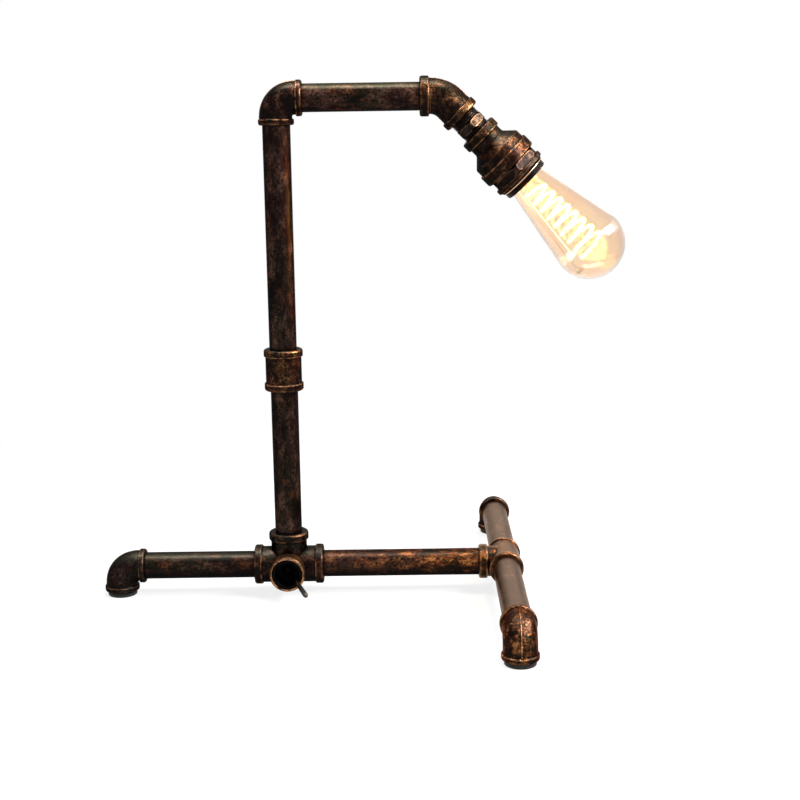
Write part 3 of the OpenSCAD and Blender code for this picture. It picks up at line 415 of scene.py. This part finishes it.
# Its black brown, on the left tube, is partly painted shade of the side away from the lamps
level_tube = antique_bronze("antique_bronze_tube_x", tones=BLACK_BROWN, stretch=ALONG_X, **TUBE)
bar_tube = antique_bronze("antique_bronze_tube_y", tones=MAUVE_BROWN, stretch=ALONG_Y, **TUBE,
                          top_sheen_tone="#46403c", rim=LIGHT_RIM)
post_tube = antique_bronze("antique_bronze_tube_z", tones=MAUVE_BROWN, stretch=ALONG_Z, **TUBE)
arm_tube = antique_bronze("antique_bronze_arm_tube", tones=MAUVE_BROWN, stretch=ALONG_X, **TUBE,
                          top_sheen_share=0.55, top_sheen_tone="#50513f", underside_shade_share=0.3)
# Its orange copper, brightest towards the tee, is partly a painted warm glow of the bulb
rubbed_tube = antique_bronze("rubbed_bronze_tube", tones=ORANGE_COPPER, copper="#d08848",
                             patch_share=0.65, roughness=0.34, stretch=ALONG_X, **MILL_SCALE,
                             top_sheen_share=0.15, dull_end=90 * MM)

# Phenolic mouldings, the cup's and the ring's so matt that they show no light
black_phenolic = moulded("black_phenolic", "#050506", "#0a0a0b", roughness=0.3, grain_mm=2.0,
                         depth_mm=0.01, shine=0.25)
deep_black = moulded("matt_black_phenolic", "#010101", "#030303", roughness=0.4, grain_mm=2.0,
                     depth_mm=0.01, shine=0.03)
brown_phenolic = moulded("brown_phenolic", "#2c1d14", "#3a281c", roughness=0.4, grain_mm=2.0,
                         depth_mm=0.02)

# Rubber feet and grommet, and the lead's soft sheath
foot_rubber = moulded("black_rubber", "#100e0d", "#191614", roughness=0.6, grain_mm=0.9,
                      depth_mm=0.03, shine=0.3)
lead_sheath = moulded("lead_sheath", "#161616", "#202020", roughness=0.45, grain_mm=1.2,
                      depth_mm=0.02)

# Bare metals: the lever, the lampholder's brass, the bulb's cap, screws and tabs, and fine wires
shaded_steel_lever = lever_with_painted_shade()
contact_brass = worked_metal("pressed_brass", "#9a7434", "#c9a558", roughness=0.3, stretch=ALONG_X)
cap_metal = worked_metal("nickelled_cap", "#a5977a", "#cbbd9c", roughness=0.28)
terminal_metal = worked_metal("tinned_steel", "#94928c", "#c4c1ba", roughness=0.25)
support_wire = worked_metal("support_wire", "#f4e8d4", "#fffaf0", roughness=0.3)

# Ceramic, glass and the glow
steatite = glazed_ceramic()
amber_glass = blown_glass("amber_glass", "#f6e6d2", "#efd9c0", "#d0b6a8", ripple_mm=0.3, haze=0.08)
stem_glass = blown_glass("stem_glass", "#fdf4ea", "#fbeedd", "#f0e0d0", ripple_mm=0.05, haze=0.0)
filament_glow = glowing_filament()

FINISHES = {
    "bronze_casting": casting,
    "bronze_tube": level_tube,
    "foot_rubber": foot_rubber,
    "black_moulding": black_phenolic,
    "switch_casing": brown_phenolic,
    "lever_metal": shaded_steel_lever,
    "terminal_metal": terminal_metal,
    "holder_ceramic": steatite,
    "contact_brass": contact_brass,
    "cap_metal": cap_metal,
    "cap_insulator": black_phenolic,
    "amber_glass": amber_glass,
    "stem_glass": stem_glass,
    "support_wire": support_wire,
    "filament": filament_glow,
    "lead_sheath": lead_sheath,
}
# Nodes whose finish differs from the rest of their slot
OWN_FINISH = {
    "base_cross": dark_casting,
    "top_elbow": dark_casting,
    "rear_foot_elbow": dark_casting,
    "left_foot_elbow": black_casting,
    "front_foot_elbow": rubbed_casting,
    "base_tee": rubbed_tee,
    "hex_nipple": machined,
    "mouth_bushing": dull_machined,
    "bar_pipe_front": bar_tube,
    "bar_pipe_rear": bar_tube,
    "post_pipe_lower": post_tube,
    "post_pipe_upper": post_tube,
    "arm_pipe": arm_tube,
    "base_pipe_right": rubbed_tube,
    "switch_bezel": deep_black,
    "holder_ring": deep_black,
}


def dress_nodes():
    """Gives each CAD node the finish of its material slot, or its own."""
    for part in frame["record"]["subparts"]:
        node = NODES[part["node"]]
        finish = OWN_FINISH.get(part["node"], FINISHES[part["material_slot"]])
        for slot in node.material_slots:
            slot.material = finish


# New pieces, all on the head


def head_piece(name, points, faces, finish):
    """A smooth mesh piece that rides on the head, from points in the head's own axes."""
    mesh = bpy.data.meshes.new(name)
    places = points.reshape(-1, 3) @ HEAD_AXES + np.array(BEND)
    mesh.from_pydata(places.tolist(), [], faces)
    mesh.shade_smooth()
    mesh.materials.append(finish)
    piece = bpy.data.objects.new(name, mesh)
    bpy.context.scene.collection.objects.link(piece)
    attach(piece, "head")
    return piece


def ring_faces(rows, columns, closed_rows=False):
    """Quads of a grid whose columns close into a ring, and whose rows may close too."""
    row = np.arange(rows if closed_rows else rows - 1)
    column = np.arange(columns)
    a = row[:, None] * columns + column
    b = row[:, None] * columns + (column + 1) % columns
    c = (row[:, None] + 1) % rows * columns + (column + 1) % columns
    d = (row[:, None] + 1) % rows * columns + column
    return np.stack([a, b, c, d], axis=-1).reshape(-1, 4)


def full_turn(count):
    """This many angles, spread evenly round a circle."""
    return np.linspace(0, 2 * math.pi, count, endpoint=False)


def thread_sleeve(name, start, end, root_r, height, pitch, slot):
    """A closed sleeve with a helical thread, about the head's axis.

    At angle a and place s the outside's radius is root_r plus height times a wave of
    s / pitch - a / 360. A power over 1 makes the wave flatter in the root than on the crest.
    It fades out over half a pitch at both ends, and the inside is a plain cylinder under the
    solid's surface.
    """
    steps_in_pitch = 14
    around = 96
    root_power = 1.6
    wall = 0.4 * MM
    steps = int(round((end - start) / pitch * steps_in_pitch))
    s = np.linspace(start, end, steps)[:, None]
    a = full_turn(around)[None, :]
    wave = 0.5 + 0.5 * np.cos(2 * math.pi * (s / pitch) - a)
    fade = np.clip(np.minimum(s - start, end - s) / (0.5 * pitch), 0, 1)
    outside = root_r + height * fade * wave ** root_power
    radius = np.vstack([outside, np.full((2, around), root_r - wall)])
    place = np.vstack([np.repeat(s, around, axis=1), np.full((1, around), end),
                       np.full((1, around), start)])
    angle = np.repeat(a, steps + 2, axis=0)
    points = np.stack([radius * np.cos(angle), radius * np.sin(angle), place], axis=-1)
    faces = ring_faces(steps + 2, around, closed_rows=True)[:, ::-1]
    head_piece(name, points, faces.tolist(), thread_iron)


def lip_bead(centre_r, centre_s, bead_r):
    """The bushing's rubbed lip: a ring of radius centre_r at place centre_s on the head's axis,
    whose round section has radius bead_r."""
    around = 128
    section = 12
    a = full_turn(around)[:, None]
    b = full_turn(section)[None, :]
    radius = centre_r + bead_r * np.cos(b)
    points = np.stack([radius * np.cos(a), radius * np.sin(a),
                       centre_s + bead_r * np.sin(b) + 0 * a], axis=-1)
    faces = ring_faces(around, section, closed_rows=True)
    head_piece("mouth_lip", points, faces.tolist(), lip_copper_and_highlight)


def spiral_filament():
    """The glowing spiral: a round cord wound on a cone, wide at the bulb's tip.

    The winding's radius grows evenly from radius_in to radius_out while it runs evenly along
    the head's axis. Each ring of the cord stands square to that line, and the rings at both
    ends shrink along a quarter circle, so that the cord ends in half balls.
    """
    turns = 8
    radius_in = 8.5 * MM
    radius_out = 13.5 * MM
    cord_r = 1.3 * MM
    steps_in_turn = 72
    sides = 12
    end_rings = 5
    pole_share = 0.01
    low, high, _ = head_span("bulb_filament")
    share = np.linspace(0, 1, turns * steps_in_turn + 1)
    angle = 2 * math.pi * turns * share
    winding = radius_in + (radius_out - radius_in) * share
    start = low + cord_r
    run = high - low - 2 * cord_r
    line = np.stack([winding * np.cos(angle), winding * np.sin(angle), start + run * share], axis=-1)
    along = np.gradient(line, axis=0)
    along /= np.linalg.norm(along, axis=1)[:, None]
    side = np.cross(along, (0.0, 0.0, 1.0))
    side /= np.linalg.norm(side, axis=1)[:, None]
    up = np.cross(side, along)

    # Each ring's place on the line, its size and its shift along the line
    last = len(line) - 1
    quarter = np.linspace(0, 0.5 * math.pi, end_rings)
    at = np.concatenate([np.zeros(end_rings, int), np.arange(1, last), np.full(end_rings, last)])
    size = np.concatenate([np.sin(quarter), np.ones(last - 1), np.sin(quarter[::-1])]) * cord_r
    size = np.maximum(size, pole_share * cord_r)
    shift = np.concatenate([-np.cos(quarter), np.zeros(last - 1), np.cos(quarter[::-1])]) * cord_r
    centre = line[at] + along[at] * shift[:, None]
    b = full_turn(sides)[None, :, None]
    rings = (centre[:, None] + size[:, None, None]
             * (np.cos(b) * side[at][:, None] + np.sin(b) * up[at][:, None]))

    # The poles close both ends
    points = np.vstack([rings.reshape(-1, 3), centre[:1], centre[-1:]])
    faces = ring_faces(len(at), sides).tolist()
    first_pole = len(at) * sides
    last_ring = first_pole - sides
    for j in range(sides):
        following = (j + 1) % sides
        faces.append((first_pole, following, j))
        faces.append((first_pole + 1, last_ring + j, last_ring + following))
    piece = head_piece("spiral_filament", points, faces, filament_glow)
    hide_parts("bulb_filament")


def bare_threads():
    """The threads that show on both sides of the nipple's hexagon, run a little into both."""
    sizes = {"root_r": 12.7 * MM, "height": 0.75 * MM, "pitch": 1.8 * MM}
    in_fitting = 0.5 * MM
    in_hexagon = 0.3 * MM
    _, elbow_end, _ = head_span("head_elbow")
    bell_start, _, _ = head_span("bell_reducer")

    # Only the nipple's hexagon reaches past this radius
    over_thread = 13 * MM
    hex_start, hex_end, _ = head_span("hex_nipple", past=over_thread)
    thread_sleeve("nipple_thread_in", elbow_end - in_fitting, hex_start + in_hexagon,
                  slot="bronze_casting", **sizes)
    thread_sleeve("nipple_thread_out", hex_end - in_hexagon, bell_start + in_fitting,
                  slot="bronze_casting", **sizes)


def ring_and_lip():
    """The black ring's thread, and next to it the bushing's lip, which stands out past the ring."""
    plain_start = 0.2 * MM
    plain_end = 0.8 * MM
    sunk = 0.1 * MM
    clear_of_ring = 0.2 * MM
    bead_r = 0.6 * MM
    bead_out = 0.5 * MM
    bead_in = 0.2 * MM
    ring_start, ring_end, ring_r = head_span("holder_ring")
    thread_sleeve("ring_thread", ring_start + plain_start, ring_end - plain_end,
                  root_r=ring_r - sunk, height=0.5 * MM, pitch=1.4 * MM, slot="black_moulding")
    _, lip_end, _ = head_span("mouth_bushing", past=ring_r + clear_of_ring)
    lip_bead(ring_r + bead_out, lip_end - bead_in, bead_r)


dress_nodes()
spiral_filament()
bare_threads()
ring_and_lip()

# The glass throws no shadow, so the filament lights the tubes as through clear glass
for glass in ("bulb_glass", "bulb_stem"):
    NODES[glass].visible_shadow = False


# Studio


def direct_rays(tree):
    """1 for the rays that must meet plain white: those of the camera, of gloss and through glass."""
    ray = add(tree, "ShaderNodeLightPath")
    direct = ray.outputs["Is Camera Ray"]
    for kind in ("Is Glossy Ray", "Is Transmission Ray"):
        either = add(tree, "ShaderNodeMath", {0: direct, 1: ray.outputs[kind]},
                     operation="MAXIMUM")
        direct = either.outputs[0]
    return direct


def floor():
    """A pale floor that takes the lamp's faint shadow near it and fades to the white backdrop."""
    half = 6.0
    white_near = 0.8
    fade_from = 0.35
    fade_to = 0.8
    material, tree = new_finish("pale_floor")
    place = add(tree, "ShaderNodeTexCoord").outputs["Object"]
    paper = add(tree, "ShaderNodeTexNoise", {"Vector": place, "Scale": per(40), "Detail": 2.0})
    colour = add(tree, "ShaderNodeMix",
                 {MIX_FACTOR: paper.outputs["Fac"], MIX_A: shade("#f4f4f3"),
                  MIX_B: shade("#f8f8f7")}, data_type="RGBA")
    matt = add(tree, "ShaderNodeBsdfDiffuse", {"Color": colour.outputs[MIX_RESULT]})
    white = add(tree, "ShaderNodeEmission", {"Color": shade("#ffffff"), "Strength": 1.0})
    away = add(tree, "ShaderNodeVectorMath", {0: place}, operation="LENGTH")
    far = add(tree, "ShaderNodeMapRange",
              {"Value": away.outputs["Value"], "From Min": fade_from, "From Max": fade_to,
               "To Min": white_near}, interpolation_type="SMOOTHSTEP")
    fade = add(tree, "ShaderNodeMath", {0: far.outputs[0], 1: direct_rays(tree)},
               operation="MULTIPLY")
    mixed = add(tree, "ShaderNodeMixShader",
                {0: fade.outputs[0], 1: matt.outputs[0], 2: white.outputs[0]})
    close_finish(tree, mixed.outputs[0])
    mesh = bpy.data.meshes.new("floor")
    mesh.from_pydata([(-half, -half, 0), (half, -half, 0), (half, half, 0), (-half, half, 0)],
                     [], [(0, 1, 2, 3)])
    mesh.materials.append(material)
    sheet = bpy.data.objects.new("floor", mesh)
    bpy.context.scene.collection.objects.link(sheet)


def backdrop():
    """White all round to the camera and in glass and metal, and a dimmer sky as the fill light."""
    world = bpy.data.worlds.new("studio")
    bpy.context.scene.world = world
    world.use_nodes = True
    tree = world.node_tree
    tree.nodes.clear()
    white = add(tree, "ShaderNodeBackground", {"Color": shade("#ffffff"), "Strength": 1.0})
    fill = add(tree, "ShaderNodeBackground", {"Color": shade("#ffffff"), "Strength": 0.5})
    mixed = add(tree, "ShaderNodeMixShader",
                {0: direct_rays(tree), 1: fill.outputs[0], 2: white.outputs[0]})
    add(tree, "ShaderNodeOutputWorld", {"Surface": mixed.outputs[0]})


def soft_lamp(name, place, target, width, height, power):
    """A rectangular soft box that faces a point."""
    light = bpy.data.lights.new(name, "AREA")
    light.shape = "RECTANGLE"
    light.size = width
    light.size_y = height
    light.energy = power
    lamp = bpy.data.objects.new(name, light)
    bpy.context.scene.collection.objects.link(lamp)
    lamp.location = place
    lamp.rotation_euler = (Vector(target) - Vector(place)).to_track_quat("-Z", "Y").to_euler()


floor()
backdrop()

# Points that the lamps face: the lamp's middle, and low down on the base
MIDDLE = (0.0, 0.0, 0.2)
LOW = (0.1, 0.0, 0.1)
soft_lamp("overhead", (0.0, 0.0, 1.45), MIDDLE, width=1.0, height=0.3, power=18.0)
soft_lamp("behind", (0.1, 1.6, 0.75), LOW, width=1.4, height=0.5, power=5.0)
soft_lamp("right", (1.1, -0.2, 0.95), MIDDLE, width=0.8, height=0.3, power=36.0)
soft_lamp("right_front", (0.95, -0.75, 1.0), MIDDLE, width=0.22, height=0.2, power=11.0)


# Camera: the lens, distance and tilt solved from the tubes' widths and ends in the photograph

PHOTO_PX = 800
LENS_PX = 1445.9
SENSOR_MM = 36.0
CAMERA_AT = Vector((0.04548, -1.30516, 0.45370))
PITCH = math.radians(11.69)
YAW = math.radians(-0.32)
ROLL = math.radians(0.85)


def camera():
    """The photograph's camera: level axes from yaw and pitch, then turned by the roll."""
    ahead = Vector((math.sin(YAW) * math.cos(PITCH), math.cos(YAW) * math.cos(PITCH),
                    -math.sin(PITCH)))
    level = Vector((math.cos(YAW), -math.sin(YAW), 0))
    drop = ahead.cross(level)
    right = math.cos(ROLL) * level + math.sin(ROLL) * drop
    down = -math.sin(ROLL) * level + math.cos(ROLL) * drop
    data = bpy.data.cameras.new("camera")
    data.sensor_width = SENSOR_MM
    data.lens = LENS_PX / PHOTO_PX * SENSOR_MM
    data.clip_start = 0.05
    data.clip_end = 50.0
    view = bpy.data.objects.new("camera", data)
    bpy.context.scene.collection.objects.link(view)
    place = Matrix((right, -down, -ahead)).transposed().to_4x4()
    place.translation = CAMERA_AT
    view.matrix_world = place
    bpy.context.scene.camera = view


camera()
bpy.context.scene.view_settings.view_transform = "Standard"

bpy.context.view_layer.update()
